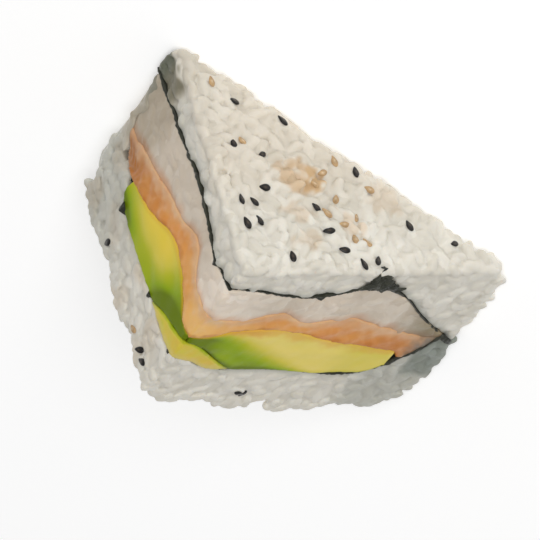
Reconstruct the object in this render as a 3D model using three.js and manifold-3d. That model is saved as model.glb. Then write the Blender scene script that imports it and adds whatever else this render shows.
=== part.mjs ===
// A triangular sushi sandwich: one quarter of a square pressed slab, cut along both diagonals.
// It stands on the slab's outer side. The right-angled corner, the slab's middle, points up.
// Millimetres. +X runs along the base, +Z is up, and the seeded front face looks toward -Y.

import * as THREE from 'three';
import { mergeVertices } from 'three/addons/utils/BufferGeometryUtils.js';
import Module from 'manifold-3d';

const wasm = await Module();
wasm.setup();

// Outline of the slab's quarter, seen from the front
const rightLeg = 65;
const leftLeg = 78;
const cornerRadius = 9;
const rimRadius = 5;

// Sheets, gaps and the thinnest filling that is kept
const sheetThickness = 0.7;
const gap = 0.3;
const leastFilling = 0.9;

// Depth of each layer along the two cuts, from the front sheet at the upper corner.
// A positive depth is toward the front. Stations are shares of the cut's length from that corner.
const stations = [0, 0.08, 0.17, 0.28, 0.4, 0.55, 0.7, 0.8, 0.9, 1];
const frontFace = 9.5;
const rightCut = {
  frontSheet: [0, -0.4, -1.8, -1.2, 0, 0, 0, 0, -0.5, -1],
  salmonTop: [-12, -13, -12.6, -6.8, -10.2, -13, -16.4, -17.6, -19.5, -20],
  salmonUnder: [-22.2, -22.2, -18.8, -16, -16.3, -22, -25.2, -26.2, -25, -23.5],
  cornerTop: [-24, -26.5, -28.7, -33, -34, -34, -34, -34, -34, -34],
  backSheet: [-31.5, -32.5, -32.8, -32.8, -33, -33.4, -32.2, -27.2, -24.5, 6],
  backFace: [-45.6, -46.2, -46.8, -46.8, -47.2, -46.7, -47.4, -48, -47.5, -46],
};
const leftCut = {
  frontSheet: [0, 0, -1.5, -3, -1.9, 1.5, -4, -11.5, -18.2, -23.5],
  salmonTop: [-12, -14.7, -14.5, -11.2, -16, -13.6, -17.6, -20.3, -22.5, -24],
  salmonUnder: [-22.2, -21.8, -20.6, -18.5, -20, -24, -26.2, -28.2, -29.5, -27],
  cornerTop: [-24, -26.7, -32.2, -38, -39, -39, -39, -39, -39, -39],
  backSheet: [-31.5, -33.4, -37, -37.6, -37.6, -38.8, -39.8, -37.3, -28.5, -14],
  backFace: [-45.6, -49.3, -51.3, -53, -54.6, -56, -56.3, -56, -54.8, -51.5],
};

// Mesh of the layers: rows run from the upper corner to the base, columns from the right cut to the left.
// One short row lies at the corner, and short rows follow the last even one, where the sheets close.
const cornerShare = 0.025;
const evenRows = 10;
const evenEnd = 0.9;
const endRows = 4;
const rowCount = 1 + evenRows + endRows;
const columnCount = 8;
const middleColumn = columnCount / 2;

// Rows and columns that each filling layer covers
const allRows = [0, rowCount];
const allColumns = [0, columnCount];
const salmonRows = [0, evenRows + 1];
const innerRiceRows = [0, evenRows + 3];
const rightSliceRows = [1, evenRows - 1];
const leftSliceRows = [1, evenRows];
const cornerSliceRows = [0, 3];

// Cooked rice grains and sesame seeds that show on the outside. Nudge, tip, spread and level
// say how far a grain may stray from its row, its face, its size and its depth.
const grain = {
  length: 6.2, width: 3.7, height: 3.3, spacing: 5.5, rise: 1.1,
  nudge: 0.5, tip: 0.7, smallest: 0.86, spread: 0.28, sunk: 0.3, level: 0.5, margin: 0.6,
};
const firstGrainRow = 1.2;
const rowCrowding = 0.87;
const seed = { length: 3.3, width: 1.9, height: 2.1 };
const cutProud = 0.25;
// Places of single seeds on the front face: distance along the right leg, along the left leg, and turn
const frontSeeds = [
  [13, 4, 0.5], [14, 8, 0.3], [20, 5, 0.9], [19.5, 8.5, 0.2], [23, 12, -0.6],
  [4, 14, 0.8], [6, 29, -0.4], [11, 26, -0.7], [18, 25, 0.1], [35, 7, 0.7],
  [32, 14, -1.2], [2, 33, 0.4], [5, 37, 1.2],
];
const backSeeds = [
  [3, 8, 0.2], [9, 3, 1.1], [22, 2, 0.4], [38, 3, -0.5],
  [4, 27, 0.8], [16, 14, -0.2], [10, 40, 1.4], [30, 20, 0.3],
];

// The triangle: its base, its height and where its two lower ends would be if they were sharp
const baseLength = Math.hypot(rightLeg, leftLeg);
const height = rightLeg * leftLeg / baseLength;
const rightEnd = rightLeg ** 2 / baseLength;
const leftEnd = leftLeg ** 2 / baseLength;
const rightAngle = Math.atan2(height, rightEnd);
const leftAngle = Math.atan2(height, leftEnd);
const top = new THREE.Vector2(0, height);

// The outer side: arcs about two centres, with the flat base between them
const rightCentre = rightEnd - cornerRadius / Math.tan(rightAngle);
const leftCentre = -leftEnd + cornerRadius / Math.tan(leftAngle);
const rightArc = cornerRadius * (Math.PI / 2 - rightAngle);
const leftArc = cornerRadius * (Math.PI / 2 - leftAngle);
const flat = rightCentre - leftCentre;

// Repeatable random numbers between 0 and 1
function randomSource(start) {
  let state = start;
  return () => {
    state = (state * 1664525 + 1013904223) % 4294967296;
    return state / 4294967296;
  };
}

// Smooth curve through the stations
function readAlong(values, share) {
  const last = stations.length - 1;
  let index = 0;
  while (index < last - 1 && share > stations[index + 1]) {
    index += 1;
  }
  const slope = (k) => {
    const before = Math.max(k - 1, 0);
    const after = Math.min(k + 1, last);
    return (values[after] - values[before]) / (stations[after] - stations[before]);
  };
  const span = stations[index + 1] - stations[index];
  const s = (share - stations[index]) / span;
  const s2 = s * s;
  const s3 = s2 * s;
  return (2 * s3 - 3 * s2 + 1) * values[index] + (s3 - 2 * s2 + s) * span * slope(index)
    + (3 * s2 - 2 * s3) * values[index + 1] + (s3 - s2) * span * slope(index + 1);
}

// A point of the slab's outer side, from the right end of the base to the left end
function outerSide(share) {
  const travelled = share * (rightArc + flat + leftArc);
  if (travelled < rightArc) {
    const angle = -rightAngle - travelled / cornerRadius;
    return new THREE.Vector2(
      rightCentre + cornerRadius * Math.cos(angle), cornerRadius * (1 + Math.sin(angle)));
  }
  if (travelled < rightArc + flat) {
    return new THREE.Vector2(rightCentre - (travelled - rightArc), 0);
  }
  const angle = -Math.PI / 2 - (travelled - rightArc - flat) / cornerRadius;
  return new THREE.Vector2(
    leftCentre + cornerRadius * Math.cos(angle), cornerRadius * (1 + Math.sin(angle)));
}

function rowShare(row) {
  if (row < 2) {
    return row * cornerShare;
  }
  const even = Math.min(row - 1, evenRows);
  const end = row - 1 - even;
  return even * evenEnd / evenRows + end * (1 - evenEnd) / endRows;
}

// Columns gather toward the two cuts
function columnShare(column) {
  const even = column / columnCount;
  return 0.6 * even + 0.4 * (0.5 - 0.5 * Math.cos(even * Math.PI));
}

function placeOf(down, across) {
  return top.clone().lerp(outerSide(across), down);
}

// A layer's depth inside the triangle blends the depths on the two cuts
function depthOf(layer, down, across) {
  const blend = across * across * (3 - 2 * across);
  return readAlong(rightCut[layer], down) * (1 - blend) + readAlong(leftCut[layer], down) * blend;
}

// Drop of an outer face as it rounds over toward the slab's outer side
function rimDrop(place) {
  let inside = place.y;
  if (place.x > rightCentre && place.y < cornerRadius) {
    inside = cornerRadius - Math.hypot(place.x - rightCentre, place.y - cornerRadius);
  }
  if (place.x < leftCentre && place.y < cornerRadius) {
    inside = cornerRadius - Math.hypot(place.x - leftCentre, place.y - cornerRadius);
  }
  const reach = Math.min(Math.max(inside, 0), rimRadius) / rimRadius;
  return rimRadius * (1 - Math.sqrt(1 - (1 - reach) ** 2));
}

// The surfaces between the layers, kept in order where the two dark sheets close on each other
const frontSheet = (down, across) => depthOf('frontSheet', down, across);
const backSheet = (down, across) =>
  Math.min(depthOf('backSheet', down, across), frontSheet(down, across) - sheetThickness - gap);
const halfSheet = sheetThickness / 2;
const fillingFloor = (down, across) => backSheet(down, across) + halfSheet + gap;
const fillingRoof = (down, across) => frontSheet(down, across) - halfSheet - gap;
const salmonUnder = (down, across) => Math.min(
  Math.max(depthOf('salmonUnder', down, across), fillingFloor(down, across)),
  fillingRoof(down, across) - 2 * leastFilling - gap);
const salmonTop = (down, across) => Math.min(
  Math.max(depthOf('salmonTop', down, across), salmonUnder(down, across) + leastFilling),
  fillingRoof(down, across) - leastFilling - gap);
const cornerTop = (down, across) => Math.max(
  Math.min(depthOf('cornerTop', down, across), salmonUnder(down, across) - gap - leastFilling - gap),
  fillingFloor(down, across));
const sliceUnder = (down, across) =>
  (cornerTop(down, across) > fillingFloor(down, across) + 0.1
    ? cornerTop(down, across) + gap : fillingFloor(down, across));
const riceFrontFace = (down, across) =>
  frontFace - grain.rise - rimDrop(placeOf(down, across));
const riceBackFace = (down, across) =>
  depthOf('backFace', down, across) + grain.rise + rimDrop(placeOf(down, across));

// A closed layer between two surfaces, over some rows and columns of the mesh
function layerGeometry(topDepth, underDepth, rows, columns, sideInset = 0) {
  const positions = [];
  const indices = [];
  const wide = columns[1] - columns[0] + 1;
  const tall = rows[1] - rows[0] + 1;
  for (const depth of [topDepth, underDepth]) {
    for (let row = rows[0]; row <= rows[1]; row += 1) {
      const down = rowShare(row);
      for (let column = columns[0]; column <= columns[1]; column += 1) {
        let across = columnShare(column);
        const inset = sideInset / Math.max(down * baseLength, 1);
        if (column === columns[0] && column > 0) {
          across += inset;
        }
        if (column === columns[1] && column < columnCount) {
          across -= inset;
        }
        const place = placeOf(down, across);
        positions.push(place.x, -depth(down, across), place.y);
      }
    }
  }
  const at = (side, row, column) => side * wide * tall + row * wide + column;
  for (let row = 0; row < tall - 1; row += 1) {
    for (let column = 0; column < wide - 1; column += 1) {
      const a = [row, column];
      const b = [row + 1, column];
      const c = [row + 1, column + 1];
      const d = [row, column + 1];
      indices.push(at(0, ...a), at(0, ...c), at(0, ...b), at(0, ...a), at(0, ...d), at(0, ...c));
      indices.push(at(1, ...a), at(1, ...b), at(1, ...c), at(1, ...a), at(1, ...c), at(1, ...d));
    }
  }
  const wall = (rowA, columnA, rowB, columnB) => {
    indices.push(at(0, rowA, columnA), at(0, rowB, columnB), at(1, rowB, columnB));
    indices.push(at(0, rowA, columnA), at(1, rowB, columnB), at(1, rowA, columnA));
  };
  for (let row = 0; row < tall - 1; row += 1) {
    wall(row, 0, row + 1, 0);
    wall(row + 1, wide - 1, row, wide - 1);
  }
  for (let column = 0; column < wide - 1; column += 1) {
    wall(tall - 1, column, tall - 1, column + 1);
    if (rows[0] > 0) {
      wall(0, column + 1, 0, column);
    }
  }
  const geometry = new THREE.BufferGeometry();
  geometry.setAttribute('position', new THREE.Float32BufferAttribute(positions, 3));
  geometry.setIndex(indices);
  return mergeVertices(geometry, 1e-4);
}

function toSolid(source) {
  const geometry = source.clone();
  geometry.deleteAttribute('normal');
  geometry.deleteAttribute('uv');
  const merged = mergeVertices(geometry, 1e-4);
  const index = merged.getIndex();
  const corners = [];
  for (let k = 0; k < index.count; k += 3) {
    const [a, b, c] = [index.getX(k), index.getX(k + 1), index.getX(k + 2)];
    if (a !== b && b !== c && c !== a) {
      corners.push(a, b, c);
    }
  }
  return new wasm.Manifold(new wasm.Mesh({
    numProp: 3,
    vertProperties: new Float32Array(merged.attributes.position.array),
    triVerts: new Uint32Array(corners),
  }));
}

function toGeometry(solid) {
  const mesh = solid.getMesh();
  const geometry = new THREE.BufferGeometry();
  geometry.setAttribute('position', new THREE.BufferAttribute(new Float32Array(mesh.vertProperties), 3));
  geometry.setIndex(new THREE.BufferAttribute(new Uint32Array(mesh.triVerts), 1));
  geometry.computeVertexNormals();
  return geometry;
}

// The largest connected piece, without sealed pockets or loose scraps
function mainPiece(solid) {
  return solid.decompose().sort((one, other) => other.volume() - one.volume())[0];
}

// An oval grain or seed, turned in the plane of its face and tipped a little
function ovalSolid(size, position, turn, tip) {
  const geometry = new THREE.IcosahedronGeometry(1, 0);
  geometry.scale(size.length / 2, size.height / 2, size.width / 2);
  geometry.rotateZ(tip);
  geometry.rotateY(turn);
  geometry.translate(position.x, position.y, position.z);
  return toSolid(geometry);
}

// The knife's two cuts and the flat base, as one block that trims what is proud of them
function trimBlock() {
  const deep = 90;
  const spread = cutProud * Math.SQRT2;
  const shape = new THREE.Shape([
    new THREE.Vector2(rightEnd + spread, 0),
    new THREE.Vector2(0, height + spread),
    new THREE.Vector2(-leftEnd - spread, 0),
  ]);
  const geometry = new THREE.ExtrudeGeometry(shape, { depth: 2 * deep, bevelEnabled: false });
  geometry.translate(0, 0, -deep);
  geometry.rotateX(Math.PI / 2);
  return toSolid(geometry);
}

// Grains in staggered rows over a face, each nudged, turned and sized by the random source
function scatterGrains(faceDepth, side, random) {
  const solids = [];
  const rowStep = grain.spacing * rowCrowding;
  let row = 0;
  for (let z = firstGrainRow; z < height; z += rowStep) {
    const stagger = (row % 2) * grain.spacing / 2;
    for (let x = -leftEnd + stagger; x < rightEnd; x += grain.spacing) {
      const place = new THREE.Vector2(
        x + (random() - 0.5) * grain.spacing * grain.nudge, z + (random() - 0.5) * rowStep * grain.nudge);
      const turn = random() * Math.PI;
      const tip = (random() - 0.5) * grain.tip;
      const scale = grain.smallest + random() * grain.spread;
      const { down, across, inside } = readPlace(place);
      if (inside && down < 1 - grain.margin / height) {
        const depth = faceDepth(down, across) + side * (random() - grain.sunk) * grain.level;
        const size = {
          length: grain.length * scale, width: grain.width * scale, height: grain.height * scale,
        };
        solids.push(ovalSolid(size, new THREE.Vector3(place.x, -depth, place.y), turn, tip));
      }
    }
    row += 1;
  }
  return solids;
}

// Shares down and across of a point, and whether it lies between the two cuts
function readPlace(place) {
  const ray = place.clone().sub(top);
  let low = 0;
  let high = 1;
  const angleOf = (vector) => Math.atan2(-vector.y, vector.x);
  const wanted = angleOf(ray);
  const inside = wanted > angleOf(outerSide(0).sub(top)) && wanted < angleOf(outerSide(1).sub(top));
  for (let step = 0; step < 24; step += 1) {
    const middle = (low + high) / 2;
    if (angleOf(outerSide(middle).sub(top)) < wanted) {
      low = middle;
    } else {
      high = middle;
    }
  }
  const across = (low + high) / 2;
  const down = ray.length() / outerSide(across).sub(top).length();
  return { down, across, inside };
}

// A place on a face from its distances along the right and the left leg
function placeFromLegs(alongRight, alongLeft) {
  return new THREE.Vector2(
    alongRight * Math.cos(rightAngle) - alongLeft * Math.cos(leftAngle),
    height - alongRight * Math.sin(rightAngle) - alongLeft * Math.sin(leftAngle));
}

function scatterSeeds(places, faceDepth, side) {
  return places.map(([alongRight, alongLeft, turn]) => {
    const place = placeFromLegs(alongRight, alongLeft);
    const { down, across } = readPlace(place);
    const depth = faceDepth(down, across) + side * grain.rise / 2;
    return ovalSolid(seed, new THREE.Vector3(place.x, -depth, place.y), turn, 0);
  });
}

// A rice layer: its core with grains and seeds fused on, trimmed flush with the cuts and the base
function riceGeometry(core, faceDepth, side, seeds, randomStart) {
  const random = randomSource(randomStart);
  let solid = toSolid(core);
  for (const piece of scatterGrains(faceDepth, side, random)) {
    solid = solid.add(piece);
  }
  for (const piece of scatterSeeds(seeds, faceDepth, side)) {
    solid = solid.add(piece);
  }
  return toGeometry(mainPiece(solid.intersect(trimBlock())));
}

function addNode(group, name, geometry, colour, roughness) {
  const material = new THREE.MeshStandardMaterial({ color: colour, roughness, metalness: 0 });
  const mesh = new THREE.Mesh(geometry, material);
  mesh.name = name;
  group.add(mesh);
}

const colours = {
  outerRice: '#d8d0c5',
  innerRice: '#c4b6a1',
  sheet: '#1d2018',
  salmon: '#c98a52',
  ripe: '#b9b24f',
  green: '#7d9130',
  corner: '#c4ad4c',
};

const sandwich = new THREE.Group();

// Outer rice, in front and behind
const riceFrontUnder = (down, across) => frontSheet(down, across) + halfSheet + gap;
const riceBackTop = (down, across) => backSheet(down, across) - halfSheet - gap;
addNode(sandwich, 'rice_front', riceGeometry(
  layerGeometry(riceFrontFace, riceFrontUnder, allRows, allColumns),
  riceFrontFace, 1, frontSeeds, 11), colours.outerRice, 0.6);
addNode(sandwich, 'rice_back', riceGeometry(
  layerGeometry(riceBackTop, riceBackFace, allRows, allColumns),
  riceBackFace, -1, backSeeds, 23), colours.outerRice, 0.6);

// The two seaweed sheets, which close on each other at the slab's outer side
for (const [name, sheet] of [['nori_front', frontSheet], ['nori_back', backSheet]]) {
  addNode(sandwich, name, layerGeometry(
    (down, across) => sheet(down, across) + halfSheet,
    (down, across) => sheet(down, across) - halfSheet,
    allRows, allColumns), colours.sheet, 0.5);
}

// Filling: inner rice, which closes round the salmon's end, salmon, two long avocado slices
// and a short one at the corner
const salmonEnd = rowShare(salmonRows[1]) + 0.001;
const innerRiceUnder = (down, across) =>
  (down > salmonEnd ? fillingFloor(down, across) : salmonTop(down, across) + gap);
addNode(sandwich, 'rice_inner', layerGeometry(
  fillingRoof, innerRiceUnder, innerRiceRows, allColumns), colours.innerRice, 0.6);
addNode(sandwich, 'salmon', layerGeometry(
  salmonTop, salmonUnder, salmonRows, allColumns), colours.salmon, 0.35);
const sliceTop = (down, across) => salmonUnder(down, across) - gap;
addNode(sandwich, 'avocado_right', layerGeometry(
  sliceTop, sliceUnder, rightSliceRows, [0, middleColumn], gap / 2), colours.ripe, 0.4);
addNode(sandwich, 'avocado_left', layerGeometry(
  sliceTop, sliceUnder, leftSliceRows, [middleColumn, columnCount], gap / 2), colours.green, 0.4);
addNode(sandwich, 'avocado_corner', layerGeometry(
  cornerTop, fillingFloor, cornerSliceRows, allColumns), colours.corner, 0.4);

// The origin is at the middle of the bottom of the whole piece
const box = new THREE.Box3().setFromObject(sandwich);
const centre = box.getCenter(new THREE.Vector3());
sandwich.position.set(-centre.x, -centre.y, -box.min.z);
sandwich.updateMatrixWorld(true);

const part = new THREE.Group();
part.add(sandwich);

export default part;
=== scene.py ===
import math
import bpy
import numpy as np
import mathutils.bvhtree
import mathutils.kdtree
from mathutils import Matrix, Vector


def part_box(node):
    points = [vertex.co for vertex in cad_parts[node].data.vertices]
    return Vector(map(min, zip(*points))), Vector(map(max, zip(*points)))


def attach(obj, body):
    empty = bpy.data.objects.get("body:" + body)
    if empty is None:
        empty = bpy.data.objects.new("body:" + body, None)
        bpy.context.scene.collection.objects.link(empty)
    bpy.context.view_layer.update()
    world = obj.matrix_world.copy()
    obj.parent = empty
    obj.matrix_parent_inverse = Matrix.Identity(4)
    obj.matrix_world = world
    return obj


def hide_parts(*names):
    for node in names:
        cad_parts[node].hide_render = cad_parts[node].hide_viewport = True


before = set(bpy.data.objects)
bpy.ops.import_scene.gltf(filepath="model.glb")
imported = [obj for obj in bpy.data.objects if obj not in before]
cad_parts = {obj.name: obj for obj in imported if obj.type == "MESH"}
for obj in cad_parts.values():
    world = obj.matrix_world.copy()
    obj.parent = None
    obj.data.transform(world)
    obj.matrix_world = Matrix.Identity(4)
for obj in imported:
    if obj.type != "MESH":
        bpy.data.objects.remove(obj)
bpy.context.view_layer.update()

mm = 0.001

# The quarter of the slab, in millimetres: depth is positive toward the seeded front face,
# and each layer has one depth for each station along a cut, from the upper corner down
slab = {
    "rightLeg": 65.0,
    "leftLeg": 78.0,
    "cornerRadius": 9.0,
    "rimRadius": 5.0,
    "frontFace": 9.5,
    "solidSheet": 0.7,
    "frontSheet": 0.34,
    "backSheet": 0.34,
    "touch": 0.03,
    "leastFilling": 0.9,
    "lateTurn": 0.075,
    "sheetGrid": (260, 90),
    "fillingGrid": (70, 60),
    "salmonDents": (0.22, 3.4),    # height and size
    "seam": 0.4,               # how far soft neighbours run into each other, so that no groove shows
    "stations": [0, 0.08, 0.17, 0.28, 0.4, 0.55, 0.7, 0.8, 0.9, 1],
    "rightCut": {
        "frontSheet": [-0.5, -1.1, -2.4, -0.9, 0, 0.1, -1.4, -1.4, -2.1, -2.2],
        "salmonTop": [-12, -13, -12.6, -6.8, -10.2, -13, -16.4, -17.6, -19.5, -20],
        "salmonUnder": [-22.2, -22.2, -18.8, -16, -16.3, -22, -25.2, -26.2, -25, -23.5],
        "cornerTop": [-24, -26.5, -28.7, -33, -34, -34, -34, -34, -34, -34],
        "backSheet": [-31.5, -32.5, -32.8, -32.8, -33, -33.4, -32.2, -27.2, -24.5, 6],
        "backFace": [-45.6, -46.2, -46.8, -46.8, -47.2, -46.7, -47.4, -48, -47.5, -46],
    },
    "leftCut": {
        "frontSheet": [-0.5, -0.7, -2.0, -3.5, -2.6, 1.5, -4, -11.5, -18.2, -23.5],
        "salmonTop": [-12, -14.7, -14.5, -11.2, -16, -13.6, -17.6, -20.3, -22.5, -24],
        "salmonUnder": [-22.2, -21.8, -19.2, -18.5, -20, -24, -26.2, -28.2, -29.5, -27],
        "cornerTop": [-24, -26.7, -32.2, -38, -39, -39, -39, -39, -39, -39],
        "backSheet": [-31.5, -33.4, -37, -37.6, -37.6, -38.8, -39.8, -37.3, -28.5, -14],
        "backFace": [-45.6, -49.3, -51.3, -53, -54.6, -56, -56.3, -56, -54.8, -51.5],
    },
}

baseLength = math.hypot(slab["rightLeg"], slab["leftLeg"])
height = slab["rightLeg"] * slab["leftLeg"] / baseLength
rightEnd = slab["rightLeg"] ** 2 / baseLength
leftEnd = slab["leftLeg"] ** 2 / baseLength
rightAngle = math.atan2(height, rightEnd)
leftAngle = math.atan2(height, leftEnd)
rightCentre = rightEnd - slab["cornerRadius"] / math.tan(rightAngle)
leftCentre = -leftEnd + slab["cornerRadius"] / math.tan(leftAngle)
downRight = np.array([math.cos(rightAngle), -math.sin(rightAngle)])   # along the right cut, in x and z
downLeft = np.array([-math.cos(leftAngle), -math.sin(leftAngle)])     # along the left cut
cuts = ((downRight, downLeft, slab["rightLeg"], "rightCut"),
        (downLeft, downRight, slab["leftLeg"], "leftCut"))

# The frame's own origin, read from the front sheet's solid
lowSheet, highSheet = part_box("nori_front")
shiftX = (lowSheet[0] + highSheet[0]) / 2 / mm - (
    rightCentre + slab["cornerRadius"] * math.cos(rightAngle)
    + leftCentre - slab["cornerRadius"] * math.cos(leftAngle)) / 2
shiftY = highSheet[1] / mm + slab["leftCut"]["frontSheet"][-1] - slab["solidSheet"] / 2


def readAlong(values, share):
    # Smooth curve through the stations
    stations = np.array(slab["stations"])
    values = np.array(values, float)
    last = len(stations) - 1
    slopes = np.array([
        (values[min(k + 1, last)] - values[max(k - 1, 0)])
        / (stations[min(k + 1, last)] - stations[max(k - 1, 0)]) for k in range(last + 1)])
    index = np.clip(np.searchsorted(stations, share, side="left") - 1, 0, last - 1)
    span = stations[index + 1] - stations[index]
    s = (share - stations[index]) / span
    return ((2 * s**3 - 3 * s**2 + 1) * values[index] + (s**3 - 2 * s**2 + s) * span * slopes[index]
            + (3 * s**2 - 2 * s**3) * values[index + 1] + (s**3 - s**2) * span * slopes[index + 1])


def outerSide(share):
    # The slab's outer side from the right end of the base to the left: an arc, the flat base, an arc
    radius = slab["cornerRadius"]
    rightArc = radius * (math.pi / 2 - rightAngle)
    leftArc = radius * (math.pi / 2 - leftAngle)
    flat = rightCentre - leftCentre
    travelled = share * (rightArc + flat + leftArc)
    angleRight = -rightAngle - np.minimum(travelled, rightArc) / radius
    angleLeft = -math.pi / 2 - np.maximum(travelled - rightArc - flat, 0) / radius
    x = np.where(travelled < rightArc, rightCentre + radius * np.cos(angleRight),
                 np.where(travelled < rightArc + flat, rightCentre - (travelled - rightArc),
                          leftCentre + radius * np.cos(angleLeft)))
    z = np.where(travelled < rightArc, radius * (1 + np.sin(angleRight)),
                 np.where(travelled < rightArc + flat, 0.0, radius * (1 + np.sin(angleLeft))))
    return x, z


def placeOf(down, across):
    x, z = outerSide(across)
    return x * down, height + (z - height) * down


def depthOf(layer, down, across):
    blend = across * across * (3 - 2 * across)
    return (readAlong(slab["rightCut"][layer], down) * (1 - blend)
            + readAlong(slab["leftCut"][layer], down) * blend)


def roundOver(inside, radius):
    # How far a face falls at a distance inside its rounded edge
    reach = np.clip(inside, 0, radius) / radius
    return radius * (1 - np.sqrt(1 - (1 - reach) ** 2))


def rimDrop(x, z, radius):
    # Fall of an outer face toward the slab's outer side
    corner = slab["cornerRadius"]
    inside = np.where((x > rightCentre) & (z < corner), corner - np.hypot(x - rightCentre, z - corner), z)
    inside = np.where((x < leftCentre) & (z < corner), corner - np.hypot(x - leftCentre, z - corner), inside)
    return roundOver(inside, radius)


def frontSheet(down, across):
    return depthOf("frontSheet", down, across)


def backSheet(down, across):
    least = (slab["frontSheet"] + slab["backSheet"]) / 2 + slab["touch"]
    # It turns up toward the front sheet only close to the right cut's far end
    late = slab["lateTurn"] * smoothStep(0.87, 0.94, down) * smoothStep(1.0, 0.975, down)
    late = late * smoothStep(0.6, 0.2, across)
    return np.minimum(depthOf("backSheet", down - late, across), frontSheet(down, across) - least)


def fillingFloor(down, across):
    return backSheet(down, across) + slab["backSheet"] / 2 + slab["touch"]


def fillingRoof(down, across):
    return frontSheet(down, across) - slab["frontSheet"] / 2 - slab["touch"]


def salmonUnder(down, across):
    floor = fillingFloor(down, across)
    low = np.maximum(depthOf("salmonUnder", down, across), floor)
    sag = smoothStep(0.825, 0.875, down) * smoothStep(0.6, 0.9, across)
    low = low + (floor - low) * sag
    return np.minimum(low, fillingRoof(down, across) - 2 * slab["leastFilling"])


def salmonTop(down, across):
    low = np.maximum(depthOf("salmonTop", down, across), salmonUnder(down, across) + slab["leastFilling"])
    dentHeight, dentSize = slab["salmonDents"]
    dents = dentHeight * flatNoise(*placeOf(down, across), dentSize, 15, 2)
    return np.minimum(low + dents, fillingRoof(down, across) - slab["leastFilling"])


def cornerTop(down, across):
    low = np.minimum(depthOf("cornerTop", down, across),
                     salmonUnder(down, across) - slab["leastFilling"])
    return np.maximum(low, fillingFloor(down, across))


def toFrame(x, depth, z):
    # Millimetres of the slab to metres of the shared frame
    return np.stack([(x + shiftX) * mm, (shiftY - depth) * mm, z * mm], axis=-1)


def alongCuts(x, z):
    # Distances along the right and the left cut, from the upper corner
    z = z - height
    return x * downRight[0] + z * downRight[1], x * downLeft[0] + z * downLeft[1]


def fromFrame(points):
    # Distances along the two cuts, and the depth
    return (*alongCuts(points[:, 0] / mm - shiftX, points[:, 2] / mm), shiftY - points[:, 1] / mm)


def moveBy(points, alongRight, alongLeft):
    # Moves points within the plane of the triangle, by millimetres along the two cuts
    points[:, 0] += (alongRight * downRight[0] + alongLeft * downLeft[0]) * mm
    points[:, 2] += (alongRight * downRight[1] + alongLeft * downLeft[1]) * mm


def smoothStep(low, high, value):
    share = np.clip((value - low) / (high - low), 0, 1)
    return share * share * (3 - 2 * share)


# How much shorter the two cuts' far ends are, as worn or pressed in, at depths from the back to
# the front; the left one is a little fuller instead
wornEnds = {
    "right": ([-50, -46.5, -44.2, -42.2, -40.5, -38.5, -36.2, -34.6, -32, -29, -26, -23.2, -21.5, -18,
               -14, -11.4, -9.8, -6, -2],
              [1.8, 1.3, 3.8, 8.4, 5.9, 7.0, 10.2, 5.6, 3.3, 3.6, 5.4, 8.2, 4.8, 3.2,
               3.4, 4.6, 1.8, 2.2, -0.5]),
    "left": ([-50, -45, -42, -40, -36, -33, -29, -26, -23],
             [0, -0.2, -1.2, -2.0, -1.8, -1.5, -1.5, -0.8, 0]),
    "round": 0.5,              # the steps between those depths are rounded over this much
    "rightZone": ((41, 60.5), (8, 1.5)),    # where each end is worn, along its own cut and the other
    "leftZone": ((62, 73), (9, 2)),
    "offBase": (0.2, 2.5),     # the heights over which the wear sets in
    "steps": 60,               # how the way back is found, step by step
    "stepShare": 0.2,
}


def wearPoints(points):
    alongRight, alongLeft, depth = fromFrame(points)
    offBase = smoothStep(*wornEnds["offBase"], points[:, 2] / mm)
    own, other = wornEnds["rightZone"]
    right = smoothStep(*own, alongRight) * smoothStep(*other, alongLeft) * offBase
    own, other = wornEnds["leftZone"]
    left = smoothStep(*own, alongLeft) * smoothStep(*other, alongRight) * offBase
    shifts = (-wornEnds["round"], 0, wornEnds["round"])
    shorterRight, shorterLeft = (
        sum(np.interp(depth + shift, *wornEnds[side]) for shift in shifts) / len(shifts)
        for side in ("right", "left"))
    moved = points.copy()
    moveBy(moved, -shorterRight * right, -shorterLeft * left)
    return moved


def unwornPoints(points):
    # Where points of the worn ends lay before, found step by step
    alongRight, alongLeft, depth = fromFrame(points)
    near = ((alongRight > 35) & (alongLeft < 12)) | ((alongLeft > 55) & (alongRight < 12))
    worn, before = points[near], points[near]
    for step in range(wornEnds["steps"]):
        before = before + wornEnds["stepShare"] * (worn - wearPoints(before))
    source = points.copy()
    source[near] = before
    return source


def wearEnds(piece):
    writePoints(piece, wearPoints(readPoints(piece)))


def readPoints(piece):
    points = np.empty(len(piece.data.vertices) * 3)
    piece.data.vertices.foreach_get("co", points)
    return points.reshape(-1, 3)


def writePoints(piece, points):
    piece.data.vertices.foreach_set("co", points.astype(np.float32).ravel())
    piece.data.update()


def pickOnly(piece):
    bpy.ops.object.select_all(action="DESELECT")
    piece.select_set(True)
    bpy.context.view_layer.objects.active = piece


def applyModifier(piece, kind, **values):
    pickOnly(piece)
    modifier = piece.modifiers.new(kind.lower(), kind)
    for name, value in values.items():
        setattr(modifier, name, value)
    bpy.ops.object.modifier_apply(modifier=modifier.name)


def editMesh(piece, *steps):
    # Steps of edit mode on the whole mesh
    pickOnly(piece)
    bpy.ops.object.mode_set(mode="EDIT")
    bpy.ops.mesh.select_all(action="SELECT")
    for step in steps:
        step()
    bpy.ops.object.mode_set(mode="OBJECT")


def cleanNormals(piece):
    editMesh(piece, lambda: bpy.ops.mesh.remove_doubles(threshold=1e-6),
             lambda: bpy.ops.mesh.normals_make_consistent(inside=False))


def readFaces(piece):
    return np.array([tuple(face.vertices) for face in piece.data.polygons])


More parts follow.
